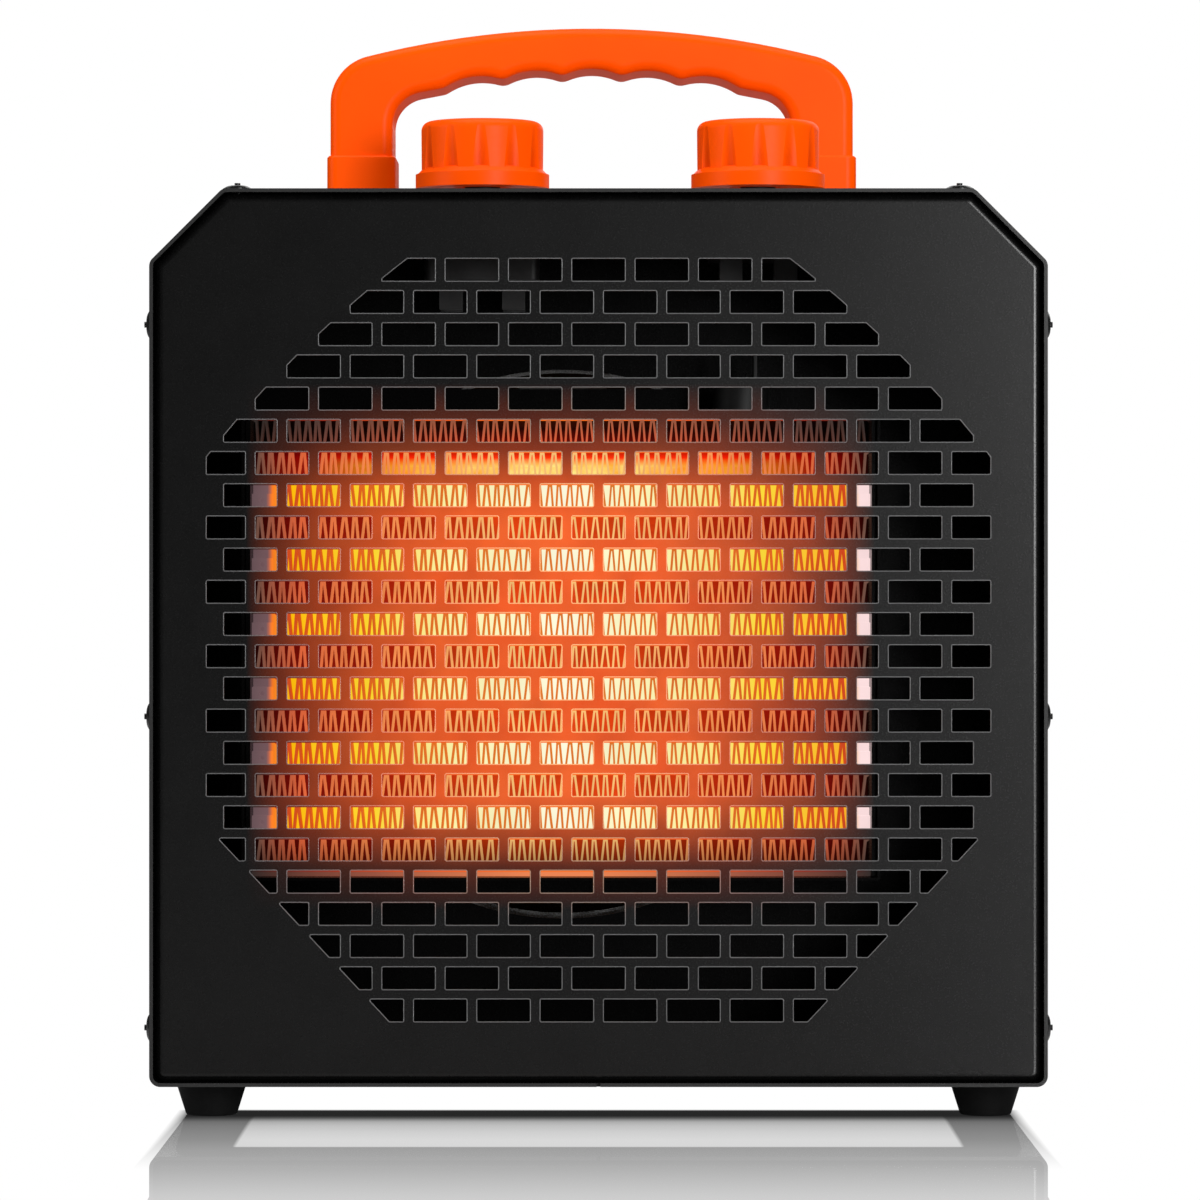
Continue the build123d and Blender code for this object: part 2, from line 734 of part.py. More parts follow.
def fin_outline(row, left, right, floor, height):
    """Closed outline of one zigzag strip of constant thickness; the folds lean a little unevenly."""
    folds = int((right - left - 2 * fin_flat - fin_sheet) / (fin_period / 2))
    start = left + (right - left - folds * fin_period / 2) / 2
    above = []
    below = []
    for fold in range(folds + 1):
        lean = fin_wobble * (sin(1.7 * fold + 2.3 * row) + sin(0.53 * fold + 4.1 * row))
        if fold in (0, folds):
            lean = 0
        middle = start + fold * fin_period / 2 + lean
        wide = fin_flat + fin_sheet / 2
        narrow = fin_flat - fin_sheet / 2
        if (fold + row) % 2:
            above += [(middle - wide, floor + height), (middle + wide, floor + height)]
            below += [(middle - narrow, floor + height - fin_sheet),
                      (middle + narrow, floor + height - fin_sheet)]
        else:
            above += [(middle - narrow, floor + fin_sheet), (middle + narrow, floor + fin_sheet)]
            below += [(middle - wide, floor), (middle + wide, floor)]
    return above + below[::-1]


fin_height = strip_pitch - separator - 2 * braze_gap
bar_number = 0
for row in range(1, strip_count + 1):
    row_floor = element_bottom + element_height - row * strip_pitch + braze_gap
    behind_bar = row in bar_rows
    fin_left = element_left + (end_block_left + bar_gap if behind_bar else 0)
    fin_right = element_right - (end_block_right + bar_gap if behind_bar else 0)
    with BuildPart() as fin_strip:
        with BuildSketch(upright(element_y)):
            with BuildLine():
                Polyline(*fin_outline(row, fin_left, fin_right, row_floor, fin_height), close=True)
            make_face()
        extrude(amount=-(front_fin_depth if behind_bar else element_depth))
    fin_strip.part.label = f"fin_strip_{row:02d}"
    export_step(fin_strip.part, f"parts/fin_strip_{row:02d}.step")
    if behind_bar:
        bar_number += 1
        bar_y = element_y + front_fin_depth + bar_gap
        block_floor = row_floor + (fin_height - end_block_height) / 2
        with BuildPart() as ptc_bar:
            with BuildSketch(upright(bar_y)):
                with Locations((element_x, row_floor)):
                    Rectangle(element_width, fin_height, align=(Align.CENTER, Align.MIN))
            extrude(amount=-(element_depth - front_fin_depth - bar_gap))
            with BuildSketch(upright(element_y + end_block_setback)):
                with Locations((element_left, block_floor)):
                    Rectangle(end_block_left, end_block_height, align=(Align.MIN, Align.MIN))
                with Locations((element_right, block_floor)):
                    Rectangle(end_block_right, end_block_height, align=(Align.MAX, Align.MIN))
                with Locations((element_left + end_block_left / 2, row_floor + fin_height / 2)):
                    Circle(terminal_hole, mode=Mode.SUBTRACT)
            extrude(amount=end_block_setback + element_y - bar_y)
        ptc_bar.part.label = f"ptc_bar_{bar_number}"
        export_step(ptc_bar.part, f"parts/ptc_bar_{bar_number}.step")

# Thin plates between the rows, brazed to the folds above and below
with BuildPart() as separator_plates:
    for row in range(strip_count + 1):
        with BuildSketch(Plane.XY.offset(element_bottom + row * strip_pitch)):
            with Locations((element_x, element_y)):
                Rectangle(element_width, element_depth, align=(Align.CENTER, Align.MIN))
        extrude(amount=separator)
separator_plates.part.label = "separator_plates"
export_step(separator_plates.part, "parts/separator_plates.step")

# Frame of the element: top and bottom plates between two end brackets
for name, floor in (
    ("element_bottom_plate", element_bottom - element_plate),
    ("element_top_plate", element_bottom + element_height),
):
    with BuildPart() as plate:
        with BuildSketch(Plane.XY.offset(floor)):
            with Locations((element_x, element_y)):
                Rectangle(element_width, element_depth, align=(Align.CENTER, Align.MIN))
        extrude(amount=element_plate)
    plate.part.label = name
    export_step(plate.part, f"parts/{name}.step")
for name, x in (
    ("element_bracket_left", element_left - bracket_sheet - duct_gap),
    ("element_bracket_right", element_right + duct_gap),
):
    with BuildPart() as bracket:
        with BuildSketch(Plane.YZ.offset(x)):
            with Locations((element_y, duct_bottom + duct_gap)):
                Rectangle(element_depth, duct_top - duct_bottom - 2 * duct_gap,
                          align=(Align.MIN, Align.MIN))
        extrude(amount=bracket_sheet)
    bracket.part.label = name
    export_step(bracket.part, f"parts/{name}.step")

# Air duct: rectangular sleeve round the element, lipped against the bulkhead
duct_y = element_y - duct_lead
duct_height = duct_top - duct_bottom
duct_middle = (element_x, (duct_top + duct_bottom) / 2)
with BuildPart() as air_duct:
    with BuildSketch(upright(duct_y)):
        with Locations(duct_middle):
            Rectangle(2 * (duct_half_width + duct_sheet), duct_height + 2 * duct_sheet)
    extrude(amount=duct_y - bulkhead_y)
    with BuildSketch(upright(bulkhead_y - duct_sheet)):
        with Locations(duct_middle):
            Rectangle(2 * (duct_half_width + duct_lip), duct_height + 2 * duct_lip)
    extrude(amount=-duct_sheet)
    with BuildSketch(upright(duct_y)):
        with Locations(duct_middle):
            Rectangle(2 * duct_half_width, duct_height)
    extrude(amount=duct_y - bulkhead_y, mode=Mode.SUBTRACT)
air_duct.part.label = "air_duct"
export_step(air_duct.part, "parts/air_duct.step")

# Bulkhead: upright wall across the case with a drawn ring round the fan and a foot on the pan
ring_radius = fan_radius + fan_tip_gap
strap_half = ring_radius + 6.0
strap_screw_x = strap_half + strap_foot / 2
strap_screws = [
    (element_x + side * strap_screw_x, fan_z + up)
    for side in (-1, 1)
    for up in (-strap_width / 4, strap_width / 4)
]
with BuildPart() as fan_bulkhead:
    with BuildSketch(upright(bulkhead_y)):
        with BuildLine():
            Polyline(*case_outline(cover_inner + 2 * (sheet + sheet_gap), pan_floor), close=True)
        make_face()
    extrude(amount=-sheet)
    with BuildSketch(upright(bulkhead_y)):
        with Locations((element_x, fan_z)):
            Circle(ring_radius + sheet)
    extrude(amount=-fan_ring_depth)
    with BuildSketch(upright(bulkhead_y)):
        with Locations((element_x, fan_z)):
            Circle(ring_radius)
        with Locations(*strap_screws):
            Circle(screw_radius + thread_gap)
    extrude(amount=-fan_ring_depth, mode=Mode.SUBTRACT)
    with BuildSketch(Plane.XY.offset(pan_floor)):
        with Locations((0, bulkhead_y)):
            Rectangle(body_width - 2 * pan_wall - 4 * sheet, bulkhead_foot,
                      align=(Align.CENTER, Align.MIN))
    extrude(amount=sheet)
    with BuildSketch(Plane.XY.offset(pan_floor)):
        with Locations(*bulkhead_screws):
            Circle(screw_radius + thread_gap)
    extrude(amount=sheet, mode=Mode.SUBTRACT)
fan_bulkhead.part.label = "fan_bulkhead"
export_step(fan_bulkhead.part, "parts/fan_bulkhead.step")


# Fan: five pitched blades on a cupped hub, pressed on the motor shaft
shaft_length = motor_behind + stator_depth + 12.0 - fan_behind - 4.0
shaft_front = fan_y + 4.0
with BuildPart() as impeller:
    with BuildSketch(upright(fan_y)):
        with Locations((element_x, fan_z)):
            Circle(hub_radius)
    extrude(amount=-fan_depth)
    fillet(impeller.faces().sort_by(Axis.Y)[0].edges(), 3.0)
    with BuildSketch(upright(fan_y + hub_wall)):
        with Locations((element_x, fan_z)):
            Circle(hub_radius - hub_wall)
            Circle(motor_shaft_radius + 3.0, mode=Mode.SUBTRACT)
    extrude(amount=-(fan_depth - hub_wall), mode=Mode.SUBTRACT)
    for blade in range(fan_blades):
        turn = 360 / fan_blades * blade
        centre = Plane(origin=(element_x, fan_y + fan_depth / 2, fan_z), x_dir=(0, 1, 0),
                       z_dir=(0, 0, 1)).rotated((0, turn, 0))
        root = centre.offset(hub_radius - 1.5)
        tip = centre.offset(fan_radius)
        with BuildSketch(root):
            Rectangle(fan_depth * 0.86, blade_sheet * 1.5, rotation=-52)
        with BuildSketch(tip):
            Rectangle(fan_depth * 1.25, blade_sheet * 0.8, rotation=-66)
        loft()
    with BuildSketch(upright(fan_y + fan_depth)):
        with Locations((element_x, fan_z)):
            Circle(fan_radius + 10)
    extrude(amount=-20, mode=Mode.SUBTRACT)
    with BuildSketch(upright(fan_y)):
        with Locations((element_x, fan_z)):
            Circle(fan_radius + 10)
    extrude(amount=20, mode=Mode.SUBTRACT)
    with BuildSketch(upright(shaft_front)):
        with Locations((element_x, fan_z)):
            Circle(motor_shaft_radius + 0.01)
    extrude(amount=-fan_depth, mode=Mode.SUBTRACT)
impeller.part.label = "impeller"
export_step(impeller.part, "parts/impeller.step")

# Motor shaft and rotor
with BuildPart() as motor_shaft:
    with BuildSketch(upright(shaft_front + 0.2)):
        with Locations((element_x, fan_z)):
            Circle(motor_shaft_radius)
    extrude(amount=-shaft_length)
motor_shaft.part.label = "motor_shaft"
export_step(motor_shaft.part, "parts/motor_shaft.step")
with BuildPart() as motor_rotor:
    with BuildSketch(upright(motor_y - 1.0)):
        with Locations((element_x, fan_z)):
            Circle(rotor_radius)
            Circle(motor_shaft_radius + 0.01, mode=Mode.SUBTRACT)
    extrude(amount=-(stator_depth + 2.0))
motor_rotor.part.label = "motor_rotor"
export_step(motor_rotor.part, "parts/motor_rotor.step")

# Stator: laminated block with the rotor's bore above and the coil's window below
with BuildPart() as motor_stator:
    with BuildSketch(upright(motor_y)):
        with Locations((element_x, fan_z - (stator_bottom - stator_top) / 2)):
            Rectangle(2 * stator_half_width, stator_top + stator_bottom)
        with Locations((element_x, fan_z)):
            Circle(rotor_radius + air_gap, mode=Mode.SUBTRACT)
        with Locations((element_x, fan_z - (stator_window_top + stator_window_bottom) / 2)):
            Rectangle(2 * (stator_half_width - stator_limb),
                      stator_window_bottom - stator_window_top, mode=Mode.SUBTRACT)
    extrude(amount=-stator_depth)
motor_stator.part.label = "motor_stator"
export_step(motor_stator.part, "parts/motor_stator.step")
limb_top = fan_z - stator_window_bottom
limb_bottom = fan_z - stator_bottom
with BuildPart() as motor_coil:
    with BuildSketch(Plane.YZ.offset(element_x - coil_half_width)):
        with Locations((motor_y + stator_depth / 2, (limb_top + limb_bottom) / 2)):
            RectangleRounded(stator_depth + 2 * (coil_gap + coil_build),
                             limb_top - limb_bottom + 2 * (coil_gap + coil_build), 3.0)
            Rectangle(stator_depth + 2 * coil_gap, limb_top - limb_bottom + 2 * coil_gap,
                      mode=Mode.SUBTRACT)
    extrude(amount=2 * coil_half_width)
motor_coil.part.label = "motor_coil"
export_step(motor_coil.part, "parts/motor_coil.step")

# Bearing brackets in front of and behind the stator, each with a boss for its bearing
bracket_faces = (
    (motor_y, -1),
    (motor_y + stator_depth, 1),
)
with BuildPart() as bearing_brackets:
    for y, way in bracket_faces:
        with BuildSketch(upright(y)):
            with Locations((element_x, fan_z)):
                Rectangle(2 * stator_half_width, 2 * bracket_half_height)
        extrude(amount=-way * bracket_standoff)
        with BuildSketch(upright(y)):
            with Locations((element_x, fan_z)):
                Rectangle(2 * (stator_half_width - stator_limb), 2 * bracket_half_height + 2)
        extrude(amount=-way * (bracket_standoff - bracket_plate), mode=Mode.SUBTRACT)
        with BuildSketch(upright(y + way * (bracket_standoff - bracket_plate))):
            with Locations((element_x, fan_z)):
                Circle(bearing_radius + 2.5)
        extrude(amount=-way * bearing_length)
        with BuildSketch(upright(y)):
            with Locations((element_x, fan_z)):
                Circle(bearing_radius + thread_gap)
        extrude(amount=-way * 20, mode=Mode.SUBTRACT)
bearing_brackets.part.label = "bearing_brackets"
export_step(bearing_brackets.part, "parts/bearing_brackets.step")
with BuildPart() as bearings:
    for y, way in bracket_faces:
        with BuildSketch(upright(y + way * (bracket_standoff - bracket_plate))):
            with Locations((element_x, fan_z)):
                Circle(bearing_radius)
                Circle(motor_shaft_radius + bearing_gap, mode=Mode.SUBTRACT)
        extrude(amount=-way * bearing_length)
bearings.part.label = "bearings"
export_step(bearings.part, "parts/bearings.step")

# Motor strap: cross bar behind the fan, footed on the bulkhead, carrying the front bracket
strap_back = motor_y - bracket_standoff
strap_front = bulkhead_y + sheet
with BuildPart() as motor_strap:
    with BuildSketch(Plane.XY.offset(fan_z - strap_width / 2)):
        with Locations((element_x, strap_front)):
            Rectangle(2 * (strap_half + strap_foot), strap_sheet, align=(Align.CENTER, Align.MIN))
            Rectangle(2 * strap_half, strap_back - strap_front, align=(Align.CENTER, Align.MIN))
            Rectangle(2 * (strap_half - strap_sheet), strap_back - strap_front - strap_sheet,
                      align=(Align.CENTER, Align.MIN), mode=Mode.SUBTRACT)
    extrude(amount=strap_width)
    with BuildSketch(upright(strap_back)):
        with Locations((element_x, fan_z)):
            Circle(bearing_radius + 3.5)
    extrude(amount=2 * strap_sheet, mode=Mode.SUBTRACT)
    with BuildSketch(upright(strap_front)):
        with Locations(*strap_screws):
            Circle(screw_radius + thread_gap)
    extrude(amount=-strap_sheet, mode=Mode.SUBTRACT)
motor_strap.part.label = "motor_strap"
export_step(motor_strap.part, "parts/motor_strap.step")

# Screws of the inside: strap to bulkhead, bulkhead to base pan
with BuildPart() as chassis_screws:
    with BuildSketch(upright(strap_front + strap_sheet)):
        with Locations(*strap_screws):
            Circle(screw_head_radius)
    extrude(amount=-screw_head_height)
    with BuildSketch(upright(strap_front + strap_sheet)):
        with Locations(*strap_screws):
            Circle(screw_radius)
    extrude(amount=strap_sheet + sheet - thread_gap)
    with BuildSketch(Plane.XY.offset(pan_floor + sheet)):
        with Locations(*bulkhead_screws):
            Circle(screw_head_radius)
    extrude(amount=screw_head_height)
    with BuildSketch(Plane.XY.offset(pan_floor + sheet)):
        with Locations(*bulkhead_screws):
            Circle(screw_radius)
    extrude(amount=-2 * sheet - 0.8)
chassis_screws.part.label = "chassis_screws"
export_step(chassis_screws.part, "parts/chassis_screws.step")

# Cord inlet: threaded gland through the rear panel with a nut inside
gland_face = rear_panel_y
with BuildPart() as cable_gland:
    with BuildSketch(upright(gland_face)):
        with Locations((gland_x, gland_z)):
            RegularPolygon(hexagon(gland_flats), 6)
    extrude(amount=-5.0)
    with BuildSketch(upright(gland_face + 5.0)):
        with Locations((gland_x, gland_z)):
            Circle(gland_head_radius - 1.0)
    extrude(amount=-(gland_reach + panel_setback - 5.0))
    fillet(cable_gland.faces().sort_by(Axis.Y)[-1].edges(), 2.5)
    with BuildSketch(upright(gland_face)):
        with Locations((gland_x, gland_z)):
            Circle(gland_thread_radius)
    extrude(amount=sheet + gland_inside)
    with BuildSketch(upright(gland_face - sheet - gland_inside)):
        with Locations((gland_x, gland_z)):
            Circle(gland_bore_radius)
    extrude(amount=-(sheet + gland_inside + gland_reach + panel_setback), mode=Mode.SUBTRACT)
cable_gland.part.label = "cable_gland"
export_step(cable_gland.part, "parts/cable_gland.step")
with BuildPart() as gland_nut:
    with BuildSketch(upright(gland_face - sheet)):
        with Locations((gland_x, gland_z)):
            RegularPolygon(hexagon(gland_flats), 6)
            Circle(gland_thread_radius + thread_gap, mode=Mode.SUBTRACT)
    extrude(amount=gland_nut_height)
gland_nut.part.label = "gland_nut"
export_step(gland_nut.part, "parts/gland_nut.step")

# Terminal block on the base pan
terminal_y = front_y + terminal_behind
with BuildPart() as terminal_block:
    with BuildSketch(Plane.XY.offset(pan_floor)):
        with Locations((gland_x - terminal_size[0] / 2, terminal_y)):
            Rectangle(terminal_size[0], terminal_size[1])
    extrude(amount=terminal_size[2])
    with BuildSketch(Plane.XY.offset(pan_floor + terminal_size[2])):
        with Locations((gland_x - terminal_size[0] / 2, terminal_y)):
            with GridLocations(terminal_size[0] / terminal_ways, terminal_size[1] / 2,
                               terminal_ways, 2):
                Circle(2.4)
    extrude(amount=-terminal_size[2] * 0.6, mode=Mode.SUBTRACT)
terminal_block.part.label = "terminal_block"
export_step(terminal_block.part, "parts/terminal_block.step")

# Thermal cut-out on top of the duct
cutout_y = front_y + cutout_behind
with BuildPart() as thermal_cutout:
    with BuildSketch(Plane.XY.offset(duct_top + duct_sheet)):
        with Locations((cutout_x, cutout_y)):
            Rectangle(cutout_flange[0], cutout_flange[1])
            Circle(cutout_radius)
    extrude(amount=cutout_flange[2])
    with BuildSketch(Plane.XY.offset(duct_top + duct_sheet)):
        with Locations((cutout_x, cutout_y)):
            Circle(cutout_radius)
    extrude(amount=cutout_height)
    with BuildSketch(Plane.XY.offset(duct_top + duct_sheet + cutout_height)):
        with Locations((cutout_x, cutout_y)):
            with GridLocations(cutout_radius, 0, 2, 1):
                Rectangle(tag_size[1], tag_size[0])
    extrude(amount=tag_size[2])
thermal_cutout.part.label = "thermal_cutout"
export_step(thermal_cutout.part, "parts/thermal_cutout.step")
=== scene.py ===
"""Looks of the fan heater: powder-coated case, glowing fins, orange handle and knobs."""
import math

import bmesh
import bpy
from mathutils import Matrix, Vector


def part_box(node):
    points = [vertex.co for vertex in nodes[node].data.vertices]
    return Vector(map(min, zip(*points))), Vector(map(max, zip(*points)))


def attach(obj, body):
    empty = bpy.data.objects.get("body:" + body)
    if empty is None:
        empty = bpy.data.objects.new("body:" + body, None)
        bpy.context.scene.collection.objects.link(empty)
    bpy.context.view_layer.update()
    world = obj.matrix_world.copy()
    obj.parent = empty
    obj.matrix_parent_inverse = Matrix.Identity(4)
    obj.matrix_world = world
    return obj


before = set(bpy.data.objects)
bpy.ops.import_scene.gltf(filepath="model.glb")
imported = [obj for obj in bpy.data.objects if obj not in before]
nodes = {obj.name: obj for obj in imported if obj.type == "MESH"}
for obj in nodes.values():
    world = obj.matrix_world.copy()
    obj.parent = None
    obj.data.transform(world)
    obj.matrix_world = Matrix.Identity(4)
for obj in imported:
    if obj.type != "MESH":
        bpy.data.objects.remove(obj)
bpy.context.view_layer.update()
MM = 0.001


def middle(node):
    low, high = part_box(node)
    return (Vector(low) + Vector(high)) / 2


# Places read from the frame
cover_low, cover_high = (Vector(v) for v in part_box("cover_shell"))
plate_low, plate_high = (Vector(v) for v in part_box("separator_plates"))
cover_top = cover_high.z
bar_rows = (3, 5, 7, 9, 11, 13)
row_count = 14
row_pitch = (plate_high.z - plate_low.z) / row_count


# Material helpers
def srgb(red, green, blue):
    """Linear colour of an 8-bit screen colour."""
    def linear(value):
        value /= 255
        return value / 12.92 if value <= 0.04045 else ((value + 0.055) / 1.055) ** 2.4
    return (linear(red), linear(green), linear(blue), 1.0)


class Finish:
    """One material with its node tree and short calls to build it."""

    def __init__(self, name, colour, roughness, metallic=0.0, specular=0.5):
        self.material = bpy.data.materials.new(name)
        self.material.use_nodes = True
        self.tree = self.material.node_tree
        self.shader = self.tree.nodes["Principled BSDF"]
        self.shader.inputs["Base Color"].default_value = colour
        self.shader.inputs["Roughness"].default_value = roughness
        self.shader.inputs["Metallic"].default_value = metallic
        self.shader.inputs["Specular IOR Level"].default_value = specular
        self.place = self.tree.nodes.new("ShaderNodeTexCoord").outputs["Object"]

    def link(self, source, target):
        self.tree.links.new(source, target)

    def node(self, kind, **settings):
        node = self.tree.nodes.new("ShaderNode" + kind)
        for key, value in settings.items():
            setattr(node, key, value)
        return node

    def spread(self, source, low=0.0, high=1.0, first=0.0, last=1.0):
        """source from low to high, carried over to first to last."""
        node = self.node("MapRange")
        limits = {"From Min": low, "From Max": high, "To Min": first, "To Max": last}
        for key, value in limits.items():
            node.inputs[key].default_value = value
        self.link(source, node.inputs["Value"])
        return node.outputs["Result"]

    def maths(self, operation, first, second):
        """first and second are numbers or outputs."""
        node = self.node("Math", operation=operation)
        for socket, value in zip(node.inputs, (first, second)):
            if isinstance(value, float):
                socket.default_value = value
            else:
                self.link(value, socket)
        return node.outputs["Value"]

    def noise(self, scale, detail=3.0, stretch=(1, 1, 1)):
        mapping = self.node("Mapping")
        mapping.inputs["Scale"].default_value = stretch
        texture = self.node("TexNoise")
        texture.inputs["Scale"].default_value = scale
        texture.inputs["Detail"].default_value = detail
        self.link(self.place, mapping.inputs["Vector"])
        self.link(mapping.outputs["Vector"], texture.inputs["Vector"])
        return texture.outputs["Fac"]

    def ramp(self, factor, stops):
        node = self.node("ValToRGB")
        points = node.color_ramp.elements
        while len(points) < len(stops):
            points.new(0.5)
        for point, (position, colour) in zip(points, stops):
            point.position = position
            point.color = colour if len(colour) == 4 else (*colour, 1.0)
        self.link(factor, node.inputs["Fac"])
        return node.outputs["Color"]

    def axis(self, letter, low, high):
        """0 to 1 along one axis of the object's frame, between two places in metres."""
        return self.spread(self.part(letter), low, high)

    def part(self, letter):
        """One coordinate of the object's frame."""
        split = self.node("SeparateXYZ")
        self.link(self.place, split.inputs["Vector"])
        return split.outputs[letter]

    def mix(self, blend, first, second):
        node = self.node("Mix", data_type="RGBA", blend_type=blend)
        node.inputs["Factor"].default_value = 1.0
        self.link(first, node.inputs["A"])
        self.link(second, node.inputs["B"])
        return node.outputs["Result"]

    def times(self, first, second):
        return self.mix("MULTIPLY", first, second)

    def colour(self, output):
        self.link(output, self.shader.inputs["Base Color"])

    def roughen(self, factor, low, high):
        spread = self.spread(factor, first=low, last=high)
        self.link(spread, self.shader.inputs["Roughness"])

    def bump(self, height, strength, distance):
        node = self.node("Bump")
        node.inputs["Strength"].default_value = strength
        node.inputs["Distance"].default_value = distance
        self.link(height, node.inputs["Height"])
        self.link(node.outputs["Normal"], self.shader.inputs["Normal"])

    def glow(self, output, strength=1.0):
        self.link(output, self.shader.inputs["Emission Color"])
        self.shader.inputs["Emission Strength"].default_value = strength


def grey(value):
    return (value, value, value)


# Powder coat of the case
def powder_coat(name, dark=0.0015, light=0.0025, specular=0.3):
    coat = Finish(name, (*grey(dark), 1.0), 0.3, specular=specular)
    coat.colour(coat.ramp(coat.noise(60.0), [(0.35, grey(dark)), (0.65, grey(light))]))
    grain = coat.noise(1800.0, 2.0)
    coat.roughen(grain, 0.23, 0.3)
    coat.bump(grain, 0.06, 0.0002)
    return coat


def edge_highlight_powder_coat():
    """Powder coat of the cover, with a painted highlight along the cut edge at the front."""
    coat = powder_coat("cover_powder_coat")
    # Painted highlight: the coat is paler on the faces within half a millimetre of the cover's
    # front edge
    coat.colour(coat.ramp(
        coat.axis("Y", cover_low.y, cover_low.y + 0.5 * MM),
        [(0.0, grey(0.024)), (0.4, grey(0.012)), (1.0, grey(0.002))],
    ))
    return coat


def lit_powder_coat():
    """Powder coat of the grille, lit orange by the element behind it."""
    coat = powder_coat("grille_powder_coat")
    across = coat.ramp(
        coat.axis("X", plate_low.x, plate_high.x),
        [(0.0, grey(0.0)), (0.06, grey(0.18)), (0.17, grey(0.55)), (0.3, grey(0.9)),
         (0.5, grey(1.0)), (0.68, grey(0.92)), (0.8, grey(0.6)), (0.92, grey(0.22)),
         (1.0, grey(0.0))],
    )
    below, above = plate_low.z - 9 * MM, plate_high.z + 9 * MM
    up = coat.ramp(
        coat.axis("Z", below, above),
        [(0.0, grey(0.0)), (0.08, grey(0.1)), (0.15, grey(0.5)), (0.22, grey(0.95)),
         (0.75, grey(1.0)), (0.81, grey(0.7)), (0.87, grey(0.3)), (0.93, grey(0.1)),
         (1.0, grey(0.0))],
    )
    mottle = coat.ramp(coat.noise(90.0), [(0.3, grey(0.8)), (0.7, grey(1.0))])
    tint = coat.ramp(coat.noise(40.0), [(0.3, srgb(248, 88, 24)), (0.7, srgb(252, 104, 38))])
    coat.glow(coat.times(coat.times(across, up), coat.times(tint, mottle)))
    return coat


# Glowing pieces: colours run from the middle of the element to both ends
def glowing(name, stops, rise=None, base=(0.012, 0.01, 0.01, 1.0), noise=None):
    """stops: colours along X, from the element's left end to its right; rise: factors along Z."""
    metal = Finish(name, base, 0.6, specular=0.15)
    light = metal.ramp(metal.axis("X", plate_low.x, plate_high.x), stops)
    if rise:
        low, high, steps = rise
        light = metal.times(light, metal.ramp(metal.axis("Z", low, high), steps))
    if noise:
        scale, low, high = noise
        light = metal.times(light, metal.ramp(metal.noise(scale), [(0.3, low), (0.7, high)]))
    metal.glow(light)
    return metal


def mirrored(stops):
    """Stops from the left end to the middle, repeated backwards to the right end."""
    return stops + [(1.0 - at, colour) for at, colour in reversed(stops)]


BLACK = (0.0, 0.0, 0.0, 1.0)
bright_lines = mirrored([
    (0.02, srgb(205, 60, 20)), (0.15, srgb(225, 95, 20)), (0.4, srgb(228, 120, 30)),
])
dim_lines = mirrored([
    (0.01, srgb(110, 75, 62)), (0.08, srgb(222, 98, 55)), (0.25, srgb(250, 148, 80)),
    (0.42, srgb(255, 196, 118)),
])
first_lines = mirrored([
    (0.01, srgb(60, 48, 44)), (0.12, srgb(120, 85, 75)), (0.3, srgb(215, 120, 85)),
    (0.45, srgb(240, 130, 85)),
])
bar_light = [
    (0.0, srgb(100, 78, 82)), (0.026, srgb(118, 88, 92)), (0.03, srgb(250, 120, 40)),
    (0.06, srgb(255, 190, 10)), (0.2, srgb(255, 220, 50)), (0.32, srgb(255, 246, 170)),
    (0.5, srgb(255, 253, 225)), (0.66, srgb(255, 248, 180)), (0.82, srgb(255, 222, 60)),
    (0.975, srgb(255, 180, 40)), (0.982, srgb(255, 225, 225)),
]
deep_red = mirrored([
    (0.0, BLACK), (0.06, srgb(105, 8, 4)), (0.2, srgb(160, 20, 6)), (0.42, srgb(228, 62, 12)),
])
row_two_light = mirrored([
    (0.0, BLACK), (0.1, srgb(150, 20, 8)), (0.25, srgb(250, 170, 50)), (0.45, srgb(255, 236, 140)),
])
faint_red = mirrored([
    (0.0, BLACK), (0.2, srgb(30, 2, 2)), (0.45, srgb(120, 8, 4)),
])
plate_light = mirrored([
    (0.0, srgb(30, 20, 18)), (0.12, srgb(150, 40, 20)), (0.3, srgb(235, 85, 20)),
    (0.45, srgb(250, 110, 25)),
])
edge_light = mirrored([
    (0.0, srgb(40, 32, 30)), (0.2, srgb(150, 80, 60)), (0.45, srgb(235, 130, 80)),
])
rim_light = mirrored([
    (0.0, BLACK), (0.1, srgb(130, 45, 20)), (0.25, srgb(235, 110, 50)), (0.45, srgb(255, 165, 85)),
])
rim_rise = (plate_low.z - 12 * MM, plate_high.z + 9 * MM, [
    (0.0, grey(0.0)), (0.1, grey(0.25)), (0.22, grey(0.9)), (0.78, grey(1.0)), (0.9, grey(0.2)),
    (1.0, grey(0.0)),
])


def row_floor(row):
    return plate_high.z - row * row_pitch


fins_bright = glowing("fins_before_bars", bright_lines, noise=(120.0, grey(0.85), grey(1.0)))
fins_dim = glowing("fins_between_bars", dim_lines, noise=(120.0, grey(0.8), grey(1.0)))
fins_first = glowing(
    "fins_first_row", first_lines,
    rise=(row_floor(1), row_floor(0), [(0.0, srgb(255, 190, 170)), (1.0, srgb(160, 170, 170))]),
)
fins_last = glowing(
    "fins_last_row", dim_lines,
    rise=(row_floor(row_count), row_floor(row_count - 1), [(0.0, grey(0.25)), (1.0, grey(0.8))]),
)
bars_glow = glowing("heating_bars", bar_light, noise=(70.0, grey(0.9), grey(1.0)))
plates_glow = glowing("plates", plate_light)
edge_glow = glowing("bottom_plate", edge_light)


# Other finishes
knob_grip_radius = 17.2 * MM
knob_flute_floor = 16.1 * MM
flute_fade_start, flute_fade_end = 7 * MM, 1.5 * MM


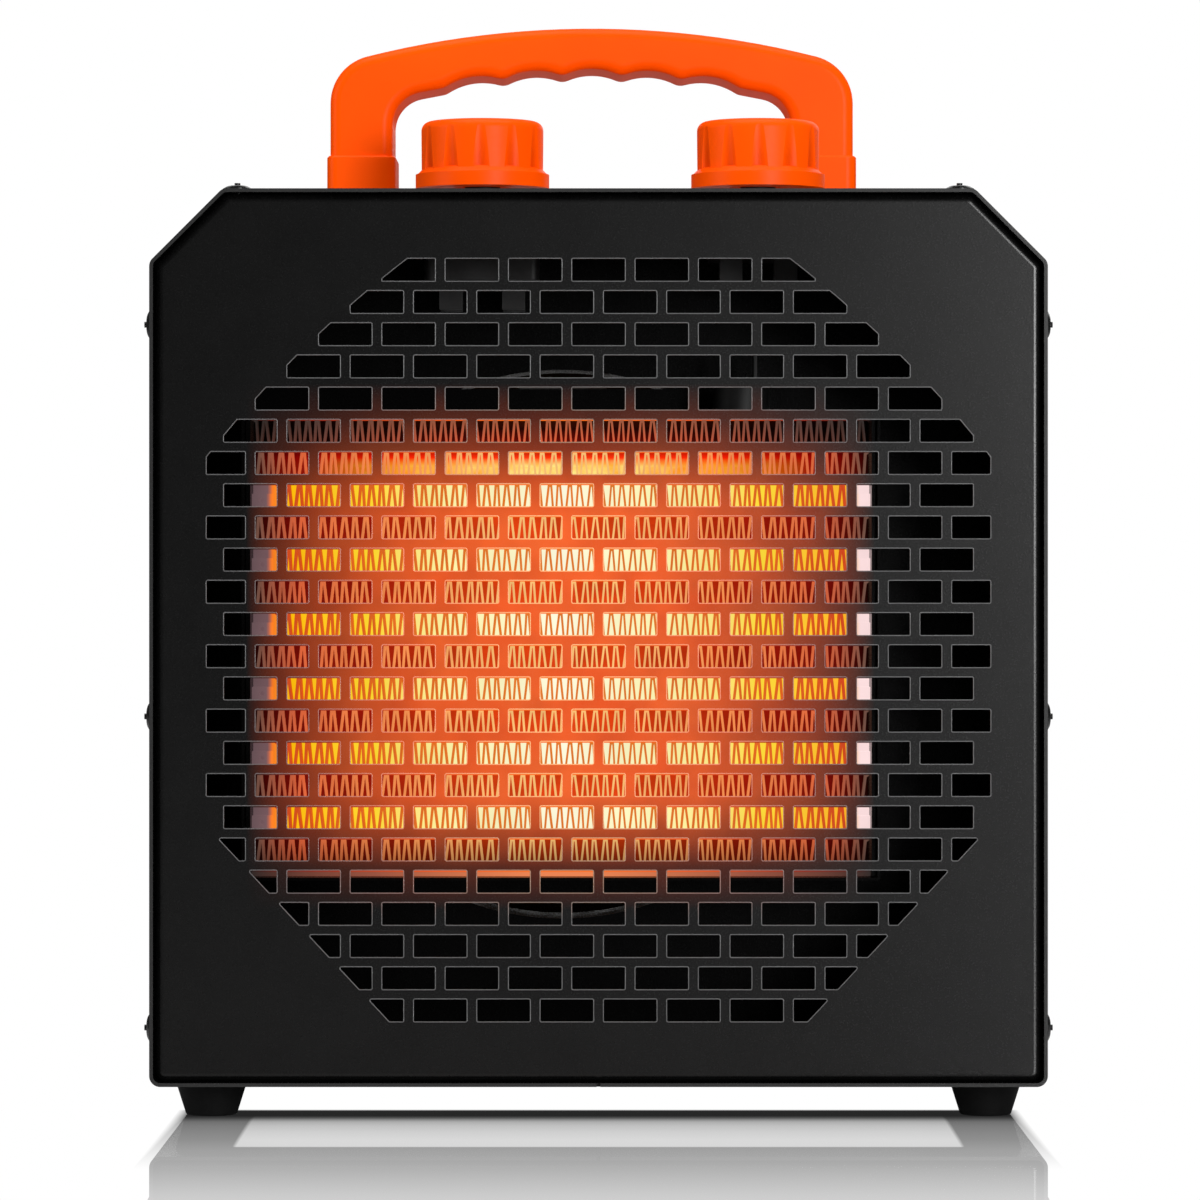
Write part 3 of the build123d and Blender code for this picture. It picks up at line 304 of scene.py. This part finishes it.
def orange_plastic(name="orange_plastic", knob=None):
    """Orange of the handle, or of a knob with painted shade in its flutes round the axis of that
    node.
    """
    plastic = Finish(name, (1.0, 0.09, 0.0, 1.0), 0.38, specular=0.07)
    tone = plastic.ramp(plastic.noise(25.0), [(0.3, (0.97, 0.077, 0.0)), (0.7, (1.0, 0.088, 0.0))])
    if knob:
        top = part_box(knob)[1][2]
        offset = plastic.node("VectorMath", operation="SUBTRACT")
        offset.inputs[1].default_value = middle(knob)
        flat = plastic.node("VectorMath", operation="MULTIPLY")
        flat.inputs[1].default_value = (1.0, 1.0, 0.0)
        reach = plastic.node("VectorMath", operation="LENGTH")
        plastic.link(plastic.place, offset.inputs[0])
        plastic.link(offset.outputs["Vector"], flat.inputs[0])
        plastic.link(flat.outputs["Vector"], reach.inputs[0])
        # Painted shade: the orange darkens towards the floor of the flutes, and the shade fades
        # out near the knob's top
        flutes = plastic.ramp(
            plastic.spread(reach.outputs["Value"], knob_flute_floor, knob_grip_radius),
            [(0.0, (0.62, 0.5, 0.5)), (0.45, (0.8, 0.72, 0.6)), (0.9, (1.0, 1.0, 1.0))],
        )
        fade = plastic.ramp(
            plastic.axis("Z", top - flute_fade_start, top - flute_fade_end),
            [(0.0, grey(0.0)), (1.0, grey(1.0))],
        )
        tone = plastic.times(tone, plastic.mix("LIGHTEN", flutes, fade))
    plastic.colour(tone)
    # Painted light: the orange also glows faintly, which lifts it where it is in shade
    plastic.glow(tone, 0.22)
    grain = plastic.noise(1500.0, 2.0)
    plastic.roughen(grain, 0.33, 0.45)
    plastic.bump(grain, 0.06, 0.0002)
    return plastic


def moulded_black():
    plastic = Finish("moulded_black", (0.007, 0.007, 0.0075, 1.0), 0.5, specular=0.3)
    grain = plastic.noise(900.0, 2.0)
    plastic.colour(plastic.ramp(grain, [(0.3, grey(0.005)), (0.7, grey(0.009))]))
    plastic.roughen(grain, 0.42, 0.6)
    plastic.bump(grain, 0.15, 0.0002)
    return plastic


def rubber():
    skin = Finish("foot_rubber", (0.003, 0.003, 0.003, 1.0), 0.68, specular=0.15)
    grain = skin.noise(1200.0, 3.0)
    skin.colour(skin.ramp(grain, [(0.3, grey(0.002)), (0.7, grey(0.004))]))
    skin.roughen(grain, 0.6, 0.78)
    skin.bump(grain, 0.2, 0.0002)
    return skin


def sheet_steel(name, low, high, roughness=0.35):
    steel = Finish(name, (*grey(high), 1.0), roughness, 1.0)
    grain = steel.noise(350.0, 4.0, (1, 1, 8))
    steel.colour(steel.ramp(grain, [(0.3, grey(low)), (0.7, grey(high))]))
    steel.roughen(grain, roughness - 0.08, roughness + 0.1)
    steel.bump(grain, 0.05, 0.0001)
    return steel


def winding():
    tape = Finish("coil_tape", (0.35, 0.17, 0.03, 1.0), 0.45)
    turns = tape.noise(500.0, 1.0, (6, 0.2, 0.2))
    tape.colour(tape.ramp(turns, [(0.35, (0.22, 0.1, 0.02)), (0.65, (0.45, 0.24, 0.05))]))
    tape.bump(turns, 0.4, 0.0004)
    return tape


def laminations():
    steel = Finish("laminations", (0.2, 0.2, 0.21, 1.0), 0.5, 0.9)
    layers = steel.noise(400.0, 1.0, (0.1, 5, 0.1))
    steel.colour(steel.ramp(layers, [(0.4, grey(0.1)), (0.6, grey(0.28))]))
    steel.bump(layers, 0.3, 0.0003)
    return steel


def printed_white():
    ink = Finish("dial_print", (0.75, 0.75, 0.75, 1.0), 0.55)
    ink.colour(ink.ramp(ink.noise(400.0), [(0.3, grey(0.68)), (0.7, grey(0.8))]))
    return ink


coat = powder_coat("powder_coat")
lit_coat = lit_powder_coat()
orange = orange_plastic()
black_plastic = moulded_black()
foot_finish = rubber()
zinc = sheet_steel("zinc_sheet", 0.42, 0.58)
fastener = sheet_steel("zinc_fastener", 0.4, 0.55, 0.3)
turned = sheet_steel("turned_steel", 0.5, 0.65, 0.25)
coil = winding()
stack = laminations()
bronze = Finish("sintered_bronze", (0.5, 0.33, 0.13, 1.0), 0.45, 1.0)
bronze.bump(bronze.noise(2500.0), 0.3, 0.0002)
# Black coat of the parts inside the case, made darker and duller than the case coat as painted
# shade
inside_black_and_shade = powder_coat("inside_black_and_shade", 0.0008, 0.0014, 0.08)
ink = printed_white()


def dress(finish, *names):
    """Gives CAD nodes a finish."""
    for name in names:
        mesh = nodes[name].data
        mesh.materials.clear()
        mesh.materials.append(finish.material)


dress(edge_highlight_powder_coat(), "cover_shell")
dress(coat, "rear_panel", "front_rivets", "rear_screws")
dress(lit_coat, "front_panel")
dress(zinc, "base_pan", "motor_strap", "bearing_brackets")
dress(inside_black_and_shade, "air_duct", "fan_bulkhead", "element_bracket_left", "element_bracket_right")
dress(fastener, "foot_screws", "handle_screws", "chassis_screws", "panel_nuts")
dress(orange, "handle")
for knob in ("knob_power", "knob_thermostat"):
    dress(orange_plastic(f"orange_{knob}", knob), knob)
dress(black_plastic, "switch_body", "thermostat_body", "thermal_cutout", "terminal_block",
      "cable_gland", "gland_nut", "impeller")
dress(turned, "switch_shaft", "thermostat_shaft", "motor_shaft", "motor_rotor")
dress(stack, "motor_stator")
dress(coil, "motor_coil")
dress(bronze, "bearings")
dress(plates_glow, "separator_plates", "element_top_plate")
dress(edge_glow, "element_bottom_plate")
dress(foot_finish, "foot_front_left", "foot_front_right", "foot_rear_left", "foot_rear_right")
for number in range(1, len(bar_rows) + 1):
    dress(bars_glow, f"ptc_bar_{number}")
for row in range(1, row_count + 1):
    if row in bar_rows:
        finish = fins_bright
    elif row == 1:
        finish = fins_first
    elif row == row_count:
        finish = fins_last
    else:
        finish = fins_dim
    dress(finish, f"fin_strip_{row:02d}")


def add_piece(name, mesh, finish, body="root"):
    piece = bpy.data.objects.new(name, mesh)
    bpy.context.scene.collection.objects.link(piece)
    mesh.materials.append(finish.material)
    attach(piece, body)


# Bead along the punched edge of every window, paler than the coat as a painted highlight rim, with
# a painted orange glow near the element
rim_highlight_glow = glowing("rim_highlight_glow", rim_light, base=(0.09, 0.09, 0.092, 1.0), rise=rim_rise)
rim_highlight_glow.shader.inputs["Roughness"].default_value = 0.32
rim_highlight_glow.shader.inputs["Specular IOR Level"].default_value = 0.7
rim_bead = 0.16 * MM
weld_distance = 0.001 * MM
face_tolerance = 0.01 * MM
facing_front, square_to_front = -0.99, 0.01


def window_rims(name, node, bead):
    build = bmesh.new()
    build.from_mesh(nodes[node].data)
    bmesh.ops.remove_doubles(build, verts=build.verts, dist=weld_distance)
    face_y = min(vert.co.y for vert in build.verts)
    flat = {face for face in build.faces if face.normal.y < facing_front
            and abs(face.calc_center_median().y - face_y) < face_tolerance}
    rim = {edge for edge in build.edges
           if sum(face in flat for face in edge.link_faces) == 1
           and any(abs(face.normal.y) < square_to_front for face in edge.link_faces)}
    curve = bpy.data.curves.new(name, "CURVE")
    curve.dimensions = "3D"
    curve.bevel_depth = bead
    curve.bevel_resolution = 1
    for edge in build.edges:
        if edge not in rim:
            continue
        rim.remove(edge)
        first, vert = edge.verts
        loop = [first.co.copy()]
        while vert != first:
            loop.append(vert.co.copy())
            step = next(other for other in vert.link_edges if other in rim)
            rim.remove(step)
            vert = step.other_vert(vert)
        spline = curve.splines.new("POLY")
        spline.points.add(len(loop) - 1)
        for point, place in zip(spline.points, loop):
            point.co = (*place, 1.0)
        spline.use_cyclic_u = True
    build.free()
    add_piece(name, curve, rim_highlight_glow)


window_rims("window_rims", "front_panel", rim_bead)


# Weld seam where the two hems of the cover meet
seam_width, seam_height, seam_inset = 1.2 * MM, 1.0 * MM, 1.0 * MM


def hem_seam():
    build = bmesh.new()
    bmesh.ops.create_cube(build, size=1.0)
    length = cover_high.y - cover_low.y - 2 * seam_inset
    middle_y = (cover_high.y + cover_low.y) / 2
    for vert in build.verts:
        vert.co = Vector((
            vert.co.x * seam_width, middle_y + vert.co.y * length,
            cover_low.z + (vert.co.z + 0.5) * seam_height,
        ))
    mesh = bpy.data.meshes.new("hem_seam")
    build.to_mesh(mesh)
    build.free()
    add_piece("hem_seam", mesh, coat)


hem_seam()


# Louvres: slanted slats pressed out of the fins, seen between the folds in the rows without a bar
louvre_setback = 5.0 * MM
louvre_slats = 4
louvre_sheet = 0.15 * MM
louvre_slant = 1.2 * MM
louvre_overlap = 1.02
louvre_floor_gap = 0.7 * MM
louvre_row_gap = 1.0 * MM
louvre_end_gap = 0.5 * MM


def louvre_mesh(name, row):
    build = bmesh.new()
    floor = row_floor(row) + louvre_floor_gap
    slat = (row_pitch - louvre_row_gap) / louvre_slats
    left, right = plate_low.x + louvre_end_gap, plate_high.x - louvre_end_gap
    front = plate_low.y + louvre_setback
    for step in range(louvre_slats):
        low = floor + step * slat
        edges = ((low, front), (low + slat * louvre_overlap, front + louvre_slant))
        corners = [
            build.verts.new((x, y + back, z))
            for back in (0.0, louvre_sheet) for z, y in edges for x in (left, right)
        ]
        a, b, c, d, e, f, g, h = corners
        sides = (
            (a, b, d, c), (e, g, h, f), (a, e, f, b), (c, d, h, g), (a, c, g, e), (b, f, h, d),
        )
        for side in sides:
            build.faces.new(side)
    bmesh.ops.recalc_face_normals(build, faces=build.faces)
    mesh = bpy.data.meshes.new(name)
    build.to_mesh(mesh)
    build.free()
    return mesh


louvre_red = glowing("louvres_red", deep_red, noise=(150.0, grey(0.7), grey(1.0)))
louvre_first = glowing(
    "louvres_first", faint_red,
    rise=(row_floor(1), row_floor(0), [(0.0, grey(1.0)), (0.7, grey(0.05))]),
)
louvre_second = glowing(
    "louvres_second", row_two_light,
    rise=(row_floor(2), row_floor(1), [
        (0.0, grey(1.0)), (0.55, grey(1.0)), (0.8, srgb(255, 60, 30)), (1.0, srgb(180, 20, 10)),
    ]),
    noise=(260.0, srgb(255, 200, 120), grey(1.0)),
)
louvre_last = glowing(
    "louvres_last", deep_red,
    rise=(row_floor(row_count), row_floor(row_count - 1), [(0.0, grey(0.02)), (1.0, grey(0.5))]),
)
for row in range(1, row_count + 1):
    if row in bar_rows:
        continue
    finish = {1: louvre_first, 2: louvre_second, row_count: louvre_last}.get(row, louvre_red)
    add_piece(f"fin_louvres_{row:02d}", louvre_mesh(f"fin_louvres_{row:02d}", row), finish)


# Dial marks printed on the cover round the knobs: plain strokes and numbers
ring_start = 21.5 * MM
print_height = 0.06 * MM
print_lift = 0.01 * MM
number_size = 5.0 * MM
number_reach = ring_start + 5.4 * MM
number_lift = 0.04 * MM


def stroke(build, centre, angle, start, length, width):
    """One flat stroke that points away from centre; angle in degrees, clockwise from the front."""
    turn = math.radians(angle)
    along = Vector((-math.sin(turn), -math.cos(turn), 0))
    side = Vector((along.y, -along.x, 0)) * width / 2
    inner = centre + along * start
    outer = centre + along * (start + length)
    lower = [build.verts.new(p) for p in (inner - side, inner + side, outer + side, outer - side)]
    upper = [build.verts.new(v.co + Vector((0, 0, print_height))) for v in lower]
    build.faces.new(upper)
    build.faces.new(lower[::-1])
    for i in range(4):
        j = (i + 1) % 4
        build.faces.new((lower[i], lower[j], upper[j], upper[i]))


def dial(name, node, angles, lengths, widths):
    centre = middle(node)
    centre.z = cover_top + print_lift
    build = bmesh.new()
    for angle, length, width in zip(angles, lengths, widths):
        stroke(build, centre, angle, ring_start, length, width)
    bmesh.ops.recalc_face_normals(build, faces=build.faces)
    mesh = bpy.data.meshes.new(name)
    build.to_mesh(mesh)
    build.free()
    add_piece(name, mesh, ink)


def numbers(name, node, angles, texts):
    centre = middle(node)
    for angle, text in zip(angles, texts):
        turn = math.radians(angle)
        curve = bpy.data.curves.new(f"{name}_{text}", "FONT")
        curve.body = text
        curve.size = number_size
        curve.extrude = print_height / 2
        curve.align_x = "CENTER"
        curve.align_y = "CENTER"
        label = bpy.data.objects.new(f"{name}_{text}", curve)
        bpy.context.scene.collection.objects.link(label)
        label.location = (
            centre.x - math.sin(turn) * number_reach, centre.y - math.cos(turn) * number_reach,
            cover_top + number_lift,
        )
        curve.materials.append(ink.material)
        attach(label, "root")


power_angles = [-135 + 45 * i for i in range(4)]
dial("dial_marks_power", "knob_power", power_angles, [2.2 * MM] * 4, [0.7 * MM] * 4)
numbers("dial_power", "knob_power", power_angles, "0123")
room_angles = [-270 + 30 * i for i in range(10)]
dial("dial_marks_thermostat", "knob_thermostat", room_angles,
     [(1.0 + 0.3 * i) * MM for i in range(10)], [0.6 * MM] * 10)
numbers("dial_thermostat", "knob_thermostat", room_angles[::3], "0123")


# Studio: white where the camera or a mirror looks, dim for all other light
sky_level = 0.07
world = bpy.data.worlds.new("studio")
bpy.context.scene.world = world
world.use_nodes = True
sky = world.node_tree
background = sky.nodes["Background"]
background.inputs["Color"].default_value = (1, 1, 1, 1)
path = sky.nodes.new("ShaderNodeLightPath")
level = sky.nodes.new("ShaderNodeMapRange")
level.inputs["To Min"].default_value = sky_level
level.inputs["To Max"].default_value = 1.0
bright = sky.nodes.new("ShaderNodeMath")
bright.operation = "MAXIMUM"
sky.links.new(path.outputs["Is Camera Ray"], bright.inputs[0])
sky.links.new(path.outputs["Is Singular Ray"], bright.inputs[1])
sky.links.new(bright.outputs["Value"], level.inputs["Value"])
sky.links.new(level.outputs["Result"], background.inputs["Strength"])


# Floor: what it sends out and the share of its mirror image, by depth in metres
floor_far, floor_near = -0.50, -0.06
# Painted shadow and reflection: floor_tones and gap_tones fall to a dark contact-shadow strip
# under the front of the case, gap_tones paint a paler band between the feet as the reflection of
# the gap under the case, and underside_shade dims the mirror share there as painted shade
floor_tones = [
    (-0.50, 1.0), (-0.277, 0.59), (-0.244, 0.50), (-0.222, 0.44), (-0.198, 0.39), (-0.174, 0.35),
    (-0.149, 0.275), (-0.128, 0.235), (-0.112, 0.20), (-0.101, 0.16), (-0.0905, 0.05),
    (-0.085, 0.02), (-0.069, 0.02), (-0.0665, 1.0),
]
underside_shade = [
    (-0.22, 1.0), (-0.175, 0.7), (-0.149, 0.57), (-0.128, 0.50), (-0.112, 0.41), (-0.101, 0.31),
    (-0.0905, 0.05), (-0.085, 0.01),
]
gap_tones = [
    (-0.50, 0.0), (-0.169, 0.0), (-0.166, 0.68), (-0.149, 0.69), (-0.128, 0.62), (-0.112, 0.53),
    (-0.101, 0.41), (-0.0905, 0.09), (-0.085, 0.02),
]
shade_half_width, shade_blur = 0.115, 0.002
gap_half_width, gap_blur = 0.0955, 0.001
white_start, white_end, white_least = 0.16, 0.42, 0.55
mirror_start, mirror_end = 0.78, 0.86
floor_reach = 40.0


def make_floor():
    mesh = bpy.data.meshes.new("floor")
    turns = ((-1, -1), (1, -1), (1, 1), (-1, 1))
    mesh.from_pydata([(x * floor_reach, y * floor_reach, 0) for x, y in turns], [], [(0, 1, 2, 3)])
    floor = bpy.data.objects.new("floor", mesh)
    bpy.context.scene.collection.objects.link(floor)
    finish = Finish("floor", (0.86, 0.86, 0.86, 1.0), 0.12)

    def along_depth(stops):
        span = floor_near - floor_far
        return finish.ramp(depth, [((y - floor_far) / span, grey(tone)) for y, tone in stops])

    depth = finish.axis("Y", floor_far, floor_near)
    aside = finish.maths("ABSOLUTE", finish.part("X"), 0.0)
    outside = finish.spread(
        aside, shade_half_width - shade_blur, shade_half_width + shade_blur)
    between_feet = finish.spread(aside, gap_half_width + gap_blur, gap_half_width - gap_blur)
    gap_tone = finish.maths("MULTIPLY", between_feet, along_depth(gap_tones))
    tone = finish.maths("MAXIMUM", along_depth(floor_tones), gap_tone)
    shade = finish.maths("MAXIMUM", outside, along_depth(underside_shade))
    mirror_share = finish.maths("MULTIPLY", finish.maths("SUBTRACT", 1.0, tone), shade)
    tint = finish.node("CombineColor")
    for channel in ("Red", "Green", "Blue"):
        finish.link(mirror_share, tint.inputs[channel])
    mirror = finish.node("BsdfGlossy")
    mirror.inputs["Roughness"].default_value = 0.0
    finish.link(tint.outputs["Color"], mirror.inputs["Color"])
    light = finish.node("Emission")
    finish.link(tone, light.inputs["Color"])
    polished = finish.node("AddShader")
    finish.link(light.outputs["Emission"], polished.inputs[0])
    finish.link(mirror.outputs["BSDF"], polished.inputs[1])

    # Seen from above the floor is pale and takes soft shadows; it mirrors only at a low angle
    away = finish.node("VectorMath", operation="LENGTH")
    finish.link(finish.place, away.inputs[0])
    seen = finish.node("LightPath").outputs["Is Camera Ray"]
    white_share = finish.spread(away.outputs["Value"], white_start, white_end, white_least)
    pale = finish.node("MixShader")
    finish.link(finish.maths("MULTIPLY", seen, white_share), pale.inputs["Fac"])
    finish.link(finish.shader.outputs["BSDF"], pale.inputs[1])
    finish.link(finish.node("Emission").outputs["Emission"], pale.inputs[2])
    glance = finish.node("LayerWeight")
    glance.inputs["Blend"].default_value = 0.5
    low_angle = finish.spread(glance.outputs["Facing"], mirror_start, mirror_end)
    blend = finish.node("MixShader")
    finish.link(finish.maths("MULTIPLY", seen, low_angle), blend.inputs["Fac"])
    finish.link(pale.outputs["Shader"], blend.inputs[1])
    finish.link(polished.outputs["Shader"], blend.inputs[2])
    output = finish.tree.nodes["Material Output"]
    finish.link(blend.outputs["Shader"], output.inputs["Surface"])
    mesh.materials.append(finish.material)


make_floor()


# Softboxes: a key to the right of the camera, a fill, a top light and one behind
def softbox(name, place, target, width, height, power):
    lamp = bpy.data.lights.new(name, "AREA")
    lamp.shape = "RECTANGLE"
    lamp.size = width
    lamp.size_y = height
    lamp.energy = power
    holder = bpy.data.objects.new(name, lamp)
    holder.location = place
    holder.rotation_euler = (Vector(target) - Vector(place)).to_track_quat("-Z", "Y").to_euler()
    bpy.context.scene.collection.objects.link(holder)


body_mid = (0.0, 0.0, 0.14)
softbox("key_right", (0.68, -1.6, 0.4), body_mid, 0.42, 0.55, 19.0)
softbox("fill_left", (-1.7, -0.7, 0.7), body_mid, 0.7, 1.0, 8.0)
softbox("top", (0.0, -0.2, 1.6), body_mid, 1.4, 1.0, 16.0)
softbox("back", (0.3, 1.7, 0.9), body_mid, 1.6, 1.0, 8.0)

# Camera: level, straight in front of the grille, framed as in the photograph
camera_distance = 1.5
photo_width = 0.3271
floor_row = 1121.9
photo_pixels = 1200
camera_height = 0.1496
sensor_width = 36.0
pixel = photo_width / photo_pixels
aside_pixels = 1.5
camera_data = bpy.data.cameras.new("camera")
camera_data.sensor_width = sensor_width
camera_data.lens = sensor_width * camera_distance / photo_width
camera_data.shift_y = ((floor_row - photo_pixels / 2) * pixel - camera_height) / photo_width
camera = bpy.data.objects.new("camera", camera_data)
camera.location = (aside_pixels * pixel, cover_low.y - camera_distance, camera_height)
camera.rotation_euler = (math.radians(90), 0, 0)
bpy.context.scene.collection.objects.link(camera)
bpy.context.scene.camera = camera
bpy.context.scene.view_settings.view_transform = "Standard"
